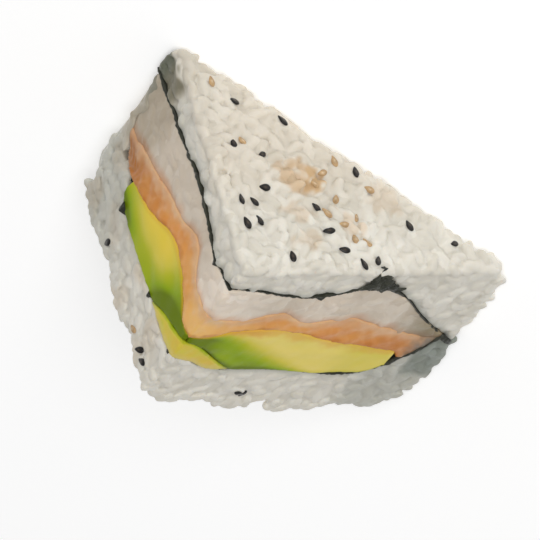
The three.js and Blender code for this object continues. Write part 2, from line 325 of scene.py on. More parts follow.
def stretchedBall(size, segments, rings):
    # Points and triangles of a ball stretched to a length, width and height
    bpy.ops.mesh.primitive_uv_sphere_add(segments=segments, ring_count=rings, radius=0.5)
    piece = bpy.context.object
    editMesh(piece, lambda: bpy.ops.transform.resize(value=(size["width"], size["height"], size["length"])),
             bpy.ops.mesh.quads_convert_to_tris)
    points, faces = readPoints(piece), readFaces(piece)
    bpy.data.objects.remove(piece)
    return points, faces


def newPiece(name, points, faces):
    mesh = bpy.data.meshes.new(name)
    mesh.from_pydata(points.tolist(), [], faces.tolist())
    piece = bpy.data.objects.new(name, mesh)
    bpy.context.collection.objects.link(piece)
    return piece


def makeLayer(name, roof, floor, downSpan, acrossSpan, rows, columns):
    # A grid laid over the triangle, extruded to the layer's other side, each side set at its depth
    bpy.ops.mesh.primitive_grid_add(x_subdivisions=columns, y_subdivisions=rows, size=1)
    piece = bpy.context.object
    piece.name = piece.data.name = name
    editMesh(piece, lambda: bpy.ops.mesh.extrude_region_move(TRANSFORM_OT_translate={"value": (0, 0, -1)}))
    points = readPoints(piece)
    down = np.clip(downSpan[0] + (0.5 - points[:, 1]) * (downSpan[1] - downSpan[0]), 0, 1)
    across = np.clip(acrossSpan[0] + (points[:, 0] + 0.5) * (acrossSpan[1] - acrossSpan[0]), 0, 1)
    x, z = placeOf(down, across)
    depth = np.where(points[:, 2] > -0.5, roof(down, across), floor(down, across))
    writePoints(piece, toFrame(x, depth, z))
    cleanNormals(piece)
    return piece


def noiseField(points, size, seed, octaves=2):
    # Smooth repeatable noise between about -1 and 1, from sums of tilted waves
    source = np.random.default_rng(seed)
    total = np.zeros(len(points))
    weight = 1.0
    for octave in range(octaves):
        for wave in range(7):
            direction = source.normal(size=3)
            direction /= np.linalg.norm(direction)
            phase = source.uniform(0, 2 * math.pi)
            scale = source.uniform(0.75, 1.35)
            total += weight * np.sin(points @ direction * (2 * math.pi / (size * mm * scale)) + phase) / 7
        weight *= 0.55
        size *= 0.47
    return total * 2.2


def flatNoise(x, z, size, seed, octaves):
    # Noise that is the same at every depth
    return noiseField(toFrame(x, np.zeros(np.shape(x)), z), size, seed, octaves)


def sculptCuts(piece, seed, bulge, rough, size):
    # Soft unevenness of what the knife has cut: bulge and ripple of both cut faces
    points = readPoints(piece)
    alongRight, alongLeft, depth = fromFrame(points)
    ripple = noiseField(points, size, seed)
    middle = (depth.max() + depth.min()) / 2
    halfDepth = (depth.max() - depth.min()) / 2
    crown = 1 - np.clip(np.abs(depth - middle) / halfDepth, 0, 1) ** 2
    out = rough * ripple + bulge * crown
    moveBy(points, -out * np.clip(1 - alongRight / 2.5, 0, 1), -out * np.clip(1 - alongLeft / 2.5, 0, 1))
    writePoints(piece, points)


# Rice: whole grains packed over each showing face of a core, a second bed of them below,
# and all of it fused into one sticky mass
rice = {
    "grain": {"length": 4.8, "width": 2.6, "height": 2.3, "bend": 0.3, "taper": 0.15},
    "apart": 1.9,              # least distance between neighbours of one bed
    "faceLevels": (-1.1, -0.75),
    "cutLevels": (-0.85, -0.5),
    "underLevels": (-1.6, -1.2),
    "coreSunk": 1.3,
    "underApart": 1.1,         # how much farther apart the grains of the second bed lie
    "tries": 9000,
    "innerTries": 6000,
    "coreGrid": (60, 70),
    "deepest": 54.0,           # the beds' regions, from this depth behind the front sheet's corner
    "depthSpan": 66.0,
    "rimLength": 97.0,
    "arcLoss": 0.41,           # share of the corner radius by which the round ends shorten a cut
    "cutInset": 0.6,           # how far the core stays behind the knife's cut
    "cutEdge": 3.0,            # rounding where a cut meets the outer face
    "lumps": {"height": 0.6, "size": 12.0},
    "knifeWave": (0.1, 9.0),   # height and size of the cut's own unevenness
    "springBack": 0.3,         # share of what stood beyond the knife's cut that stays
    "rimPress": 0.85,          # share of what stood out of the slab's outer side that is pressed in
    "squeeze": 0.08,           # share of what stood beyond a layer's sides that stays
    "edgeLevels": (-1.15, -0.75),
    "outerMargin": 0.9,        # how far the cuts' grains keep from the outer face and from the sheet
    "sheetMargin": 0.4,
    "innerLevels": ((-1.6, -1.2), (-0.9, -0.6)),
    "innerMargins": (0.4, 0.5),
    "innerInset": 0.2,
    "innerOver": 0.3,          # how far the inner grains may lie into the salmon
    # How far the back's lumpy edge stands out at places along the right and the left cut
    "tufts": ([(0, 0.8), (3, 1.3), (6, 0.6), (11, 0.2), (15, -1.5), (22, 1.1), (25, 1.6), (28.5, 0.2),
               (32, -0.2), (36, -2.2), (38.5, 0.1), (49, 0.8), (51, -0.6), (54, -0.4), (62, -1.0)],
              [(0, 0.0), (4, 1.0), (8, 2.8), (10.5, 2.2), (13, 0.6), (18.6, 0.0), (22.6, 0.6), (27, 1.7),
               (30, 0.9), (33, -1.3), (37.4, -3.6), (40.4, 1.6), (42.4, 2.2), (44.5, 1.2), (46, -0.2),
               (51.6, 1.0), (54, -1.6), (61, -1.8), (65, 0.2), (67.5, 1.9), (69, 0.2), (71, 0.0),
               (75, -0.6)]),
    "pressed": 0.54,           # share of the grains' relief that the mould leaves
    "rimReach": 1.0,           # how far grains stand out of the slab's outer side, and at its left end
    "leftReach": 2.4,
    "voxel": 0.3,
    "smooth": 2,
    "mostFaces": 190000,
}

outerTable = np.linspace(0, 1, 3000)
outerX, outerZ = outerSide(outerTable)
outerAngle = np.arctan2(height - outerZ, outerX)


def readPlace(x, z):
    # Shares down and across of points of the triangle
    across = np.interp(np.arctan2(height - z, x), outerAngle, outerTable)
    edgeX, edgeZ = outerSide(across)
    down = np.hypot(x, z - height) / np.hypot(edgeX, edgeZ - height)
    return np.clip(down, 0, 1), across


def edgeDrop(x, z, radius):
    # Fall of an outer face toward the two cuts
    return np.maximum(*(roundOver(inside, radius) for inside in alongCuts(x, z)))


def lumps(x, z, seed):
    return rice["lumps"]["height"] * flatNoise(x, z, rice["lumps"]["size"], seed, 1)


def riceFrontFace(down, across, sunk=0.0):
    x, z = placeOf(down, across)
    drop = np.maximum(rimDrop(x, z, slab["rimRadius"]), edgeDrop(x, z, rice["cutEdge"]) * 0.8)
    return slab["frontFace"] - sunk - drop + lumps(x, z, 61)


def tuftReach(cut, distance):
    return np.interp(distance, *zip(*rice["tufts"][cut]))


def riceBackFace(down, across, sunk=0.0):
    x, z = placeOf(down, across)
    alongRight, alongLeft = alongCuts(x, z)
    drop = np.maximum(rimDrop(x, z, slab["rimRadius"]), edgeDrop(x, z, rice["cutEdge"]) * 0.2)
    edge = tuftReach(0, alongRight) * smoothStep(9, 3, alongLeft)
    edge = np.where(alongRight < alongLeft, tuftReach(1, alongLeft) * smoothStep(9, 3, alongRight), edge)
    return depthOf("backFace", down, across) + sunk + drop + lumps(x, z, 62) - edge


def grainTemplate():
    size = rice["grain"]
    points, faces = stretchedBall(size, 10, 8)
    reach = points[:, 2] / (size["length"] / 2)
    points[:, :2] *= (1 - size["taper"] * reach)[:, None]
    points[:, 0] += size["bend"] * reach**2
    return points[:, [2, 0, 1]], faces


grainPoints, grainFaces = grainTemplate()


def packBed(width, length, apart, source, tries):
    # Grains of one bed in a flat region, none of them over another: places and turns
    reach = rice["grain"]["length"] * 0.3
    taken = np.empty((0, 2))
    kept = []
    for attempt in range(tries):
        place = np.array([source.uniform(0, width), source.uniform(0, length)])
        turn = source.uniform(0, math.pi)
        along = np.array([math.cos(turn), math.sin(turn)]) * reach
        spine = np.array([place - along, place, place + along])
        if len(taken) and np.min(np.sum((taken[:, None] - spine[None]) ** 2, axis=2)) < apart**2:
            continue
        taken = np.concatenate([taken, spine])
        kept.append((place[0], place[1], turn))
    return np.array(kept)


def unitRows(vectors):
    return vectors / np.linalg.norm(vectors, axis=1)[:, None]


def layGrains(beds, source, tip=0.3):
    # One copy of the grain for each place: beds hold the places, the normals and the lying directions
    places, normals, lengths = (np.concatenate(parts) for parts in zip(*beds))
    count = len(places)
    normals = unitRows(normals)
    lengths = unitRows(lengths - np.sum(lengths * normals, axis=1)[:, None] * normals)
    lean = source.uniform(-tip, tip, count)[:, None]
    lifted = np.cos(lean) * lengths + np.sin(lean) * normals
    widths = np.cross(normals, lifted)
    axes = np.stack([lifted, widths, np.cross(lifted, widths)], axis=1)
    scale = source.uniform(0.88, 1.12, (count, 1, 1)) * source.uniform(0.93, 1.07, (count, 3, 1))
    points = np.einsum("pk,nkj->npj", grainPoints * mm, axes * scale) + places[:, None, :]
    faces = (grainFaces[None] + (np.arange(count) * len(grainPoints))[:, None, None]).reshape(-1, 3)
    spines = np.stack([places + lifted * shift * mm for shift in (-1.6, 0, 1.6)], axis=1)
    return points.reshape(-1, 3), faces, spines


def faceBed(depthFace, side, levels, source, apart):
    # A bed over the front or the back face
    kept = packBed(rightEnd + leftEnd, height, apart, source, rice["tries"])
    x, z, turn = kept[:, 0] - leftEnd, kept[:, 1], kept[:, 2]
    alongRight, alongLeft = alongCuts(x, z)
    inside = (alongRight > 0.9) & (alongLeft > 0.9) & (z > 0.9)
    x, z, turn = x[inside], z[inside], turn[inside]
    here = depthFace(*readPlace(x, z))
    step = 0.5
    slopeX = (depthFace(*readPlace(x + step, z)) - depthFace(*readPlace(x - step, z))) / (2 * step)
    slopeZ = (depthFace(*readPlace(x, z + step)) - depthFace(*readPlace(x, z - step))) / (2 * step)
    slopeX, slopeZ = np.clip(slopeX, -1.6, 1.6), np.clip(slopeZ, -1.6, 1.6)
    normals = unitRows(np.stack([-slopeX * side, -np.ones(len(x)) * side, -slopeZ * side], axis=1))
    places = toFrame(x, here, z) + normals * source.uniform(*levels, len(x))[:, None] * mm
    return places, normals, np.stack([np.cos(turn), np.zeros(len(x)), np.sin(turn)], axis=1)


def cutBed(roof, floor, cut, levels, source, tries, apart, margins):
    # A bed over a layer's strip of one cut: cut 0 is the right one, 1 the left one
    along, toward, leg, name = cuts[cut]
    length = leg - slab["cornerRadius"] * rice["arcLoss"]
    kept = packBed(length, rice["depthSpan"], apart, source, tries)
    distance, depth, turn = kept[:, 0], kept[:, 1] - rice["deepest"], kept[:, 2]
    down = distance / length
    side = np.full(len(down), float(cut))
    inside = (depth < roof(down, side) - margins[0]) & (depth > floor(down, side) + margins[1])
    inside &= (distance > 0.6) & (distance < length - 0.4)
    distance, depth, turn = distance[inside], depth[inside], turn[inside]
    level = source.uniform(*levels, len(depth))
    x = along[0] * distance - toward[0] * level
    z = height + along[1] * distance - toward[1] * level
    normals = np.tile([-toward[0], 0, -toward[1]], (len(depth), 1))
    lengths = np.stack([along[0] * np.cos(turn), np.sin(turn), along[1] * np.cos(turn)], axis=1)
    return toFrame(x, depth, z), normals, lengths


def rimBed(roof, floor, levels, source, apart, margin=1.0):
    # A bed over a layer's part of the slab's outer side, with the base
    kept = packBed(rice["rimLength"], rice["depthSpan"], apart, source, rice["tries"])
    share, depth, turn = kept[:, 0] / rice["rimLength"], kept[:, 1] - rice["deepest"], kept[:, 2]
    ones = np.ones(len(share))
    inside = (depth < roof(ones, share) - margin) & (depth > floor(ones, share) + margin)
    inside &= (share > 0.006) & (share < 0.994)
    share, depth, turn = share[inside], depth[inside], turn[inside]
    x, z = outerSide(share)
    aheadX, aheadZ = outerSide(np.clip(share + 0.004, 0, 1))
    behindX, behindZ = outerSide(np.clip(share - 0.004, 0, 1))
    tangents = unitRows(np.stack([aheadX - behindX, aheadZ - behindZ], axis=1))
    outward = np.stack([-tangents[:, 1], tangents[:, 0]], axis=1)
    inward = np.stack([-x, height * 0.5 - z], axis=1)
    outward *= -np.sign(np.sum(outward * inward, axis=1))[:, None]
    level = source.uniform(*levels, len(share))
    places = toFrame(x + outward[:, 0] * level, depth, z + outward[:, 1] * level)
    normals = np.stack([outward[:, 0], np.zeros(len(x)), outward[:, 1]], axis=1)
    lengths = np.stack([tangents[:, 0] * np.cos(turn), np.sin(turn), tangents[:, 1] * np.cos(turn)], axis=1)
    return places, normals, lengths


def edgeBed(depthFace, side, levels, roof, floor, source):
    # One row of grains round each rounded edge: at the two cuts, at the rim and at the cuts' far ends
    bed = []

    def add(x, depth, z, normal, axis, turns):
        place = toFrame(x, depth, z) + normal * source.uniform(*levels) * mm
        turn = source.uniform(*turns)
        bed.append((place, normal, (axis[0] * math.cos(turn), math.sin(turn), axis[1] * math.cos(turn))))

    def depthAt(x, z):
        return depthFace(*readPlace(np.array([x]), np.array([z])))[0]

    for along, toward, leg, name in cuts:
        distance = 1.6
        while distance < leg - slab["cornerRadius"]:
            place = along * distance + toward * 0.2
            x, z = place[0], height + place[1]
            normal = np.array([-toward[0] * 0.85, -side * 0.5, -toward[1] * 0.85])
            add(x, depthAt(x, z), z, normal, along, (-0.9, 0.9))
            distance += source.uniform(2.6, 3.8)
    share = 0.012
    while share < 0.99:
        x, z = outerSide(np.array([share]))
        inward = np.array([-x[0], height * 0.5 - z[0]])
        inward /= np.linalg.norm(inward)
        inX, inZ = x[0] + inward[0] * 0.3, z[0] + inward[1] * 0.3
        normal = np.array([-inward[0] * 0.9, -side * 0.4, -inward[1] * 0.9])
        add(inX, depthAt(inX, inZ), inZ, normal, (inward[1], -inward[0]), (0, math.pi))
        share += source.uniform(0.027, 0.04)
    for cut, (along, toward, leg, name) in enumerate(cuts):
        end, across = np.array([1.0]), np.array([float(cut)])
        edgeX, edgeZ = outerSide(across)
        depth, top = floor(end, across)[0] + 1.0, roof(end, across)[0] - 1.0
        while depth < top:
            normal = np.array([along[0] - toward[0], 0, along[1] - toward[1]]) * 0.7
            add(edgeX[0], depth, edgeZ[0], normal, -along, (0.6, 2.5))
            depth += source.uniform(2.2, 3.4)
    return tuple(np.array(parts) for parts in zip(*bed))


def edgeTufts(source):
    # Grains that point outward along the back rice's outer edges, at both cuts
    bed = []
    for cut, (along, toward, leg, name) in enumerate(cuts):
        length = leg - slab["cornerRadius"] * 0.6
        distance = 1.2
        while distance < length:
            edge = readAlong(slab[name]["backFace"], np.array([distance / length]))[0]
            reach = tuftReach(cut, distance) + source.uniform(-0.3, 0.4)
            for inward in (source.uniform(0.5, 1.0), source.uniform(2.2, 3.2)):
                turn = source.uniform(-0.65, 0.65)
                depth = edge - reach + 2.2 * math.cos(turn) - 0.25
                place = np.array([0, height]) + along * distance + toward * inward
                bed.append((toFrame(place[0], depth, place[1]), (-toward[0], 0.3, -toward[1]),
                            (along[0] * math.sin(turn), math.cos(turn), along[1] * math.sin(turn))))
            distance += source.uniform(1.7, 2.6)
    return tuple(np.array(parts) for parts in zip(*bed))


def carryGrains(laid):
    # At the worn ends each grain moves as a whole
    points, faces, spines = laid
    centres = spines[:, 1]
    shift = (wearPoints(centres) - centres)[:, None]
    carried = points.reshape(len(spines), -1, 3) + shift
    return carried.reshape(-1, 3), faces, spines + shift


def keepLargest(piece, name):
    # Bubbles left inside by the fusing are taken away
    editMesh(piece, lambda: bpy.ops.mesh.separate(type="LOOSE"))
    parts = sorted(bpy.context.selected_objects, key=lambda part: -len(part.data.vertices))
    for part in parts[1:]:
        bpy.data.objects.remove(part)
    parts[0].name = name
    return parts[0]


def readEdges(piece):
    edges = np.empty(len(piece.data.edges) * 2, dtype=np.int64)
    piece.data.edges.foreach_get("vertices", edges)
    return edges.reshape(-1, 2)


def averageRound(values, edges, count):
    # Each point's values moved halfway to the mean of its neighbours
    result = np.empty_like(values)
    for axis in range(values.shape[1]):
        total = (np.bincount(edges[:, 0], values[edges[:, 1], axis], len(values))
                 + np.bincount(edges[:, 1], values[edges[:, 0], axis], len(values)))
        result[:, axis] = 0.5 * values[:, axis] + 0.5 * total / count
    return result


def mark(piece, **attributes):
    # Values for each point, which the shaders read
    for name, values in attributes.items():
        attribute = piece.data.attributes.new(name, "FLOAT", "POINT")
        attribute.data.foreach_set("value", values.astype(np.float32))


def pressGrains(piece, share, rounds=22):
    # How far each point stands out of its softened surroundings, in millimetres, kept as an attribute;
    # then only a share of that relief stays
    points = readPoints(piece)
    edges = readEdges(piece)
    count = np.maximum(np.bincount(edges.ravel(), minlength=len(points)), 1)
    soft = points.copy()
    for step in range(rounds):
        soft = averageRound(soft, edges, count)
    normals = np.empty(len(points) * 3)
    piece.data.vertices.foreach_get("normal", normals)
    mark(piece, relief=np.sum((points - soft) * normals.reshape(-1, 3), axis=1) / mm)
    writePoints(piece, soft + (points - soft) * share(points)[:, None])


def markTone(piece, spines, source):
    # Each grain has a tone of its own
    tree = mathutils.kdtree.KDTree(len(spines) * 3)
    tones = source.normal(0, 1, len(spines))
    for index, spine in enumerate(spines):
        for place in spine:
            tree.insert(place, index)
    tree.balance()
    mark(piece, tone=np.array([tones[tree.find(place)[1]] for place in readPoints(piece)]))


def fuseRice(name, core, laid, keep):
    # Core and grains in one mesh, kept to the layer, remeshed into one skin and softened
    editMesh(core, bpy.ops.mesh.quads_convert_to_tris)
    corePoints = readPoints(core)
    points = np.concatenate([wearPoints(corePoints), wearPoints(keep(unwornPoints(laid[0])))])
    faces = np.concatenate([readFaces(core), laid[1] + len(corePoints)])
    bpy.data.objects.remove(core)
    piece = newPiece(name, points, faces)
    applyModifier(piece, "REMESH", mode="VOXEL", voxel_size=rice["voxel"] * mm, use_smooth_shade=True)
    piece = keepLargest(piece, name)
    applyModifier(piece, "SMOOTH", factor=0.5, iterations=rice["smooth"])
    return piece


def finishRice(piece, share, spines, source):
    # The mould presses the faces, the knife slices the grains at the cuts, and the base is flat
    corners = sum(len(face.vertices) - 2 for face in piece.data.polygons)
    if corners > rice["mostFaces"]:
        applyModifier(piece, "DECIMATE", ratio=rice["mostFaces"] / corners)
    pressGrains(piece, share)
    points = readPoints(piece)
    alongRight, alongLeft, depth = fromFrame(points)
    waveHeight, waveSize = rice["knifeWave"]
    level = waveHeight * noiseField(points, waveSize, 63)
    overRight = np.maximum(-alongLeft - level, 0)
    overLeft = np.maximum(-alongRight - level, 0)
    cutAway = 1 - rice["springBack"]
    moveBy(points, overLeft * cutAway, overRight * cutAway)
    x, z = points[:, 0] / mm - shiftX, points[:, 2] / mm
    radius = slab["cornerRadius"]
    thin = smoothStep(-27, -22, depth) * smoothStep(0, -3, depth)
    for centre, beyond, reach in ((rightCentre, x > rightCentre, rice["rimReach"] - 0.7 * thin),
                                  (leftCentre, x < leftCentre, rice["leftReach"])):
        away = np.maximum(np.hypot(x - centre, z - radius), 1e-6)
        over = np.where(beyond & (z < radius), np.maximum(away - radius - reach, 0), 0)
        over = over * rice["rimPress"] / away
        points[:, 0] -= (x - centre) * over * mm
        points[:, 2] -= (z - radius) * over * mm
    points[:, 2] = np.maximum(points[:, 2], 0.0)
    writePoints(piece, points)
    piece.data.shade_smooth()
    markTone(piece, spines, source)


def slabPlaces(points):
    # Distances along the two cuts, the depth, and the shares down and across
    down, across = readPlace(points[:, 0] / mm - shiftX, points[:, 2] / mm)
    return (*fromFrame(points), down, across)


def insetCuts(piece, inset, seed):
    # The core's cut faces, unevenly behind the knife's cut
    points = readPoints(piece)
    alongRight, alongLeft = fromFrame(points)[:2]
    inset = inset * (1 + 0.4 * noiseField(points, 3.0, seed))
    moveBy(points, np.maximum(inset - alongRight, 0), np.maximum(inset - alongLeft, 0))
    writePoints(piece, points)


def keptBetween(roof, floor, seed, backSide, overFloor=0.0):
    # Grains end at the layer's two sides, and here and there lap a little over a sheet's edge:
    # more of it over the back sheet's far ends
    def keep(points):
        alongRight, alongLeft, depth, down, across = slabPlaces(points)
        lap = 0.1 + 0.05 * noiseField(points, 4.0, seed)
        more = 0.75 * smoothStep(45, 50, alongRight) * smoothStep(4, 2, alongLeft)
        lap = lap + 0.3 * smoothStep(56, 60, alongLeft) * smoothStep(4, 2, alongRight)
        fine = 0.2 * smoothStep(13, 9, alongLeft) * smoothStep(3, 1.5, alongRight)
        lapRoof = lap + (more if backSide == "roof" else fine)
        lapFloor = lap + (more if backSide == "floor" else fine)
        top = roof(down, across) + lapRoof if roof else depth
        under = floor(down, across) - lapFloor - overFloor if floor else depth
        kept = np.where(depth > top, top + (depth - top) * rice["squeeze"], depth)
        kept = np.where(kept < under, under - (under - kept) * rice["squeeze"], kept)
        moved = points.copy()
        moved[:, 1] = (shiftY - kept) * mm
        return moved
    return keep


def wrapZone(alongRight, alongLeft, depth):
    # Where the back rice wraps round the filling, at the right cut's far end
    return smoothStep(44, 48, alongRight) * smoothStep(6, 2, alongLeft) * smoothStep(-27, -22, depth)


def makeOuterRice(name, isFront, seed):
    source = np.random.default_rng(seed)
    halfFront = slab["frontSheet"] / 2 + slab["touch"]
    halfBack = slab["backSheet"] / 2 + slab["touch"]
    sunk = rice["coreSunk"]
    if isFront:
        face, side, margins = riceFrontFace, 1, (rice["outerMargin"], rice["sheetMargin"])
        roof, floor = riceFrontFace, lambda d, a: frontSheet(d, a) + halfFront
        coreSides = lambda d, a: np.maximum(riceFrontFace(d, a, sunk), floor(d, a) + 0.3), floor
        keep = keptBetween(None, floor, seed, None)
    else:
        face, side, margins = riceBackFace, -1, (rice["sheetMargin"], rice["outerMargin"])
        roof, floor = lambda d, a: backSheet(d, a) - halfBack, riceBackFace
        coreSides = roof, lambda d, a: riceBackFace(d, a, sunk)
        keep = keptBetween(roof, None, seed, "roof")
    core = makeLayer("riceCore", *coreSides, (0, 1), (0, 1), *rice["coreGrid"])
    insetCuts(core, rice["cutInset"], seed)
    points = readPoints(core)
    points[:, 2] = np.maximum(points[:, 2], 0.3 * mm)
    writePoints(core, points)
    beds = []
    apart = rice["apart"]
    for levels, cutLevels, apart in ((rice["underLevels"], rice["underLevels"], apart * rice["underApart"]),
                                     (rice["faceLevels"], rice["cutLevels"], apart)):
        beds.append(faceBed(face, side, levels, source, apart))
        for cut in (0, 1):
            beds.append(cutBed(roof, floor, cut, cutLevels, source, rice["tries"], apart, margins))
        beds.append(rimBed(roof, floor, levels, source, apart))
    beds.append(edgeBed(face, side, rice["edgeLevels"], roof, floor, source))
    if not isFront:
        beds.append(edgeTufts(source))
    laid = carryGrains(layGrains(beds, source))
    piece = fuseRice(name, core, laid, keep)

    def share(points):
        # The front face is pressed flatter than its edges, and the back's outer edges stay lumpy
        alongRight, alongLeft, depth, down, across = slabPlaces(points)
        inward = np.minimum(alongRight, alongLeft)
        if isFront:
            return rice["pressed"] - 0.14 * smoothStep(2, 6, inward)
        nearEdge = smoothStep(4.5, 2.0, inward)
        nearEdge = nearEdge * smoothStep(5.0, 2.5, depth - depthOf("backFace", down, across))
        farEnd = smoothStep(50, 55, alongRight) * smoothStep(8, 4, alongLeft) * smoothStep(-23, -27, depth)
        return (rice["pressed"] + (1 - rice["pressed"]) * np.maximum(nearEdge, farEnd)
                - 0.36 * wrapZone(alongRight, alongLeft, depth))

    finishRice(piece, share, laid[2], source)
    return piece


def makeInnerRice(seed):
    source = np.random.default_rng(seed)

    def floor(down, across):
        # Past the salmon's end, on the right, it lies on the back sheet
        top = salmonTop(down, across) + slab["touch"]
        past = smoothStep(0.976, 0.983, down) * smoothStep(0.6, 0.2, across)
        return top + (fillingFloor(down, across) - top) * past

    core = makeLayer("innerCore", fillingRoof, floor, (0, 0.985), (0, 1), *rice["coreGrid"])
    insetCuts(core, rice["innerInset"], seed)
    beds = []
    for levels in rice["innerLevels"]:
        for cut in (0, 1):
            beds.append(cutBed(fillingRoof, floor, cut, levels, source, rice["innerTries"], rice["apart"],
                               rice["innerMargins"]))
    laid = carryGrains(layGrains(beds, source))
    keep = keptBetween(fillingRoof, floor, seed, "floor", rice["innerOver"])
    piece = fuseRice("innerRice", core, laid, keep)
    finishRice(piece, lambda points: np.full(len(points), 0.5), laid[2], source)
    return piece


def slabPlace(piece):
    points = readPoints(piece)
    return (points, *slabPlaces(points))


def makeSheet(name, level, thickness, edgeOut, folds, seed):
    # A seaweed sheet: thin, a little wavy, with a ragged edge at the two cuts
    half = thickness / 2
    piece = makeLayer(name, lambda d, a: level(d, a) + half, lambda d, a: level(d, a) - half,
                      (0, 1), (0, 1), *slab["sheetGrid"])
    points, alongRight, alongLeft, depth, down, across = slabPlace(piece)
    side = np.sign(depth - level(down, across))
    fine = noiseField(points, 1.3, seed, 3)
    coarse = noiseField(points, 6.0, seed + 1)
    for cut, (along, out) in enumerate(((alongRight, alongLeft), (alongLeft, alongRight))):
        reach = readAlong(edgeOut[cut], np.clip(along / cuts[cut][2], 0, 1)) + 0.1 * fine + 0.1 * coarse
        near = np.clip(1 - out / np.maximum(1.4, -1.3 * reach), 0, 1)
        lift = 0.06 * coarse + 0.03 * fine
        swell = 0.05 * fine
        for place, spread, foldOut, foldLift, foldSwell in folds[cut]:
            weight = np.exp(-((along - place) / spread) ** 2)
            reach = reach + weight * foldOut
            lift = lift + weight * foldLift
            swell = swell + weight * foldSwell
        out = -reach * near
        moveBy(points, *((0, out) if cut == 0 else (out, 0)))
        points[:, 1] -= (lift + side * swell) * near * mm
    points[:, 2] = np.maximum(points[:, 2], 0.0)
    writePoints(piece, points)
    wearEnds(piece)
    piece.data.shade_smooth()
    return piece


def makeFilling(name, roof, floor, downSpan, acrossSpan, voxel, seed, **sculpt):
    piece = makeLayer(name, roof, floor, downSpan, acrossSpan, *slab["fillingGrid"])
    applyModifier(piece, "REMESH", mode="VOXEL", voxel_size=voxel * mm, use_smooth_shade=True)
    applyModifier(piece, "SMOOTH", factor=0.5, iterations=3)
    sculptCuts(piece, seed, **sculpt)
    wearEnds(piece)
    return piece


# Camera: the photo's view of this piece. The picture's axes are given along the right cut,
# along the left cut and toward the front face
view = {
    "pictureRight": (-0.2558, 0.8614, 0.4389),
    "pictureUp": (0.8639, 0.0, 0.5037),
    "aim": (-1.0, -4.73, 21.0),
    "distance": 5000.0,
    "width": 128.0,
}


def frameAxis(parts):
    axis = Vector((
        parts[0] * downRight[0] + parts[1] * downLeft[0], -parts[2],
        parts[0] * downRight[1] + parts[1] * downLeft[1]))
    return axis.normalized()


def makeCamera():
    right = frameAxis(view["pictureRight"])
    up = frameAxis(view["pictureUp"])
    back = right.cross(up).normalized()
    up = back.cross(right)
    data = bpy.data.cameras.new("camera")
    camera = bpy.data.objects.new("camera", data)
    bpy.context.collection.objects.link(camera)
    matrix = Matrix((right, up, back)).transposed().to_4x4()
    matrix.translation = Vector(view["aim"]) * mm + back * view["distance"] * mm
    camera.matrix_world = matrix
    data.sensor_width = 36
    data.lens = 36 * view["distance"] / view["width"]
    data.clip_start = 0.01
    bpy.context.scene.camera = camera


makeCamera()
print("camera set")


def plug(tree, node, inputs):
    # Each input as a plain value, or linked where it is another node's output
    for label, value in inputs.items():
        if isinstance(value, bpy.types.NodeSocket):
            tree.links.new(value, node.inputs[label])
        else:
            node.inputs[label].default_value = value


def addNode(tree, kind, inputs, **settings):
    node = tree.nodes.new("ShaderNode" + kind)
    for name, value in settings.items():
        setattr(node, name, value)
    plug(tree, node, inputs)
    return node


def mathNode(tree, operation, *values):
    return addNode(tree, "Math", dict(enumerate(values)), operation=operation).outputs[0]


def buildMoistGrain():
    # Noise at two sizes: a mask for colour, a mask for gloss and a height for the bump
    group = bpy.data.node_groups.new("moistGrain", "ShaderNodeTree")
    for label, way in (("Coarse", "INPUT"), ("Fine", "INPUT"), ("Mottle", "OUTPUT"), ("Speck", "OUTPUT"),
                       ("Height", "OUTPUT")):
        group.interface.new_socket(name=label, in_out=way, socket_type="NodeSocketFloat")
    start = group.nodes.new("NodeGroupInput")
    end = group.nodes.new("NodeGroupOutput")
    place = addNode(group, "TexCoord", {}).outputs["Object"]
    mottle, speck = (
        addNode(group, "TexNoise", {"Detail": detail, "Vector": place, "Scale": start.outputs[label]})
        .outputs["Fac"] for label, detail in (("Coarse", 3.0), ("Fine", 2.0)))
    plug(group, end, {"Mottle": mottle, "Speck": speck,
                      "Height": mathNode(group, "MULTIPLY_ADD", speck, 0.5, mottle)})
    return group


moistGrain = buildMoistGrain()


def linear(colour):
    # A screen colour of 0 to 255 as the shader's linear colour
    values = [c / 255 for c in colour]
    return tuple(v / 12.92 if v <= 0.04045 else ((v + 0.055) / 1.055) ** 2.4 for v in values) + (1.0,)


def readAttribute(tree, name):
    return addNode(tree, "Attribute", {}, attribute_name=name).outputs["Fac"]


def ramp(tree, fac, stops):
    node = addNode(tree, "ValToRGB", {"Fac": fac})
    while len(node.color_ramp.elements) < len(stops):
        node.color_ramp.elements.new(0.5)
    for element, (place, colour) in zip(node.color_ramp.elements, stops):
        element.position = place
        element.color = linear(colour)
    return node.outputs["Color"]


def mixColours(tree, fac, first, second, blend="MIX"):
    # Inputs 6 and 7 and output 2 of a mix node are its colours
    node = addNode(tree, "Mix", {0: fac, 6: first, 7: second}, data_type="RGBA", blend_type=blend)
    return node.outputs[2]


def mapRange(tree, value, low, high, toLow=0.0, toHigh=1.0):
    return addNode(tree, "MapRange", {
        "Value": value, "From Min": low, "From Max": high, "To Min": toLow, "To Max": toHigh},
        interpolation_type="SMOOTHSTEP").outputs["Result"]


def tint(tree, colour, name, goal, window=None, blend="MIX"):
    # Toward a goal colour by an attribute, or by its way through a window, up to a strength
    fac = readAttribute(tree, name)
    if window:
        fac = mapRange(tree, fac, window[0], window[1], 0.0, window[2])
    return mixColours(tree, fac, colour, linear(goal), blend)


def startMaterial(name, coarse, fine):
    # A new material, its node tree and the outputs of its moist grain
    material = bpy.data.materials.new(name)
    material.use_nodes = True
    tree = material.node_tree
    grain = addNode(tree, "Group", {"Coarse": coarse, "Fine": fine}, node_tree=moistGrain)
    return material, tree, grain


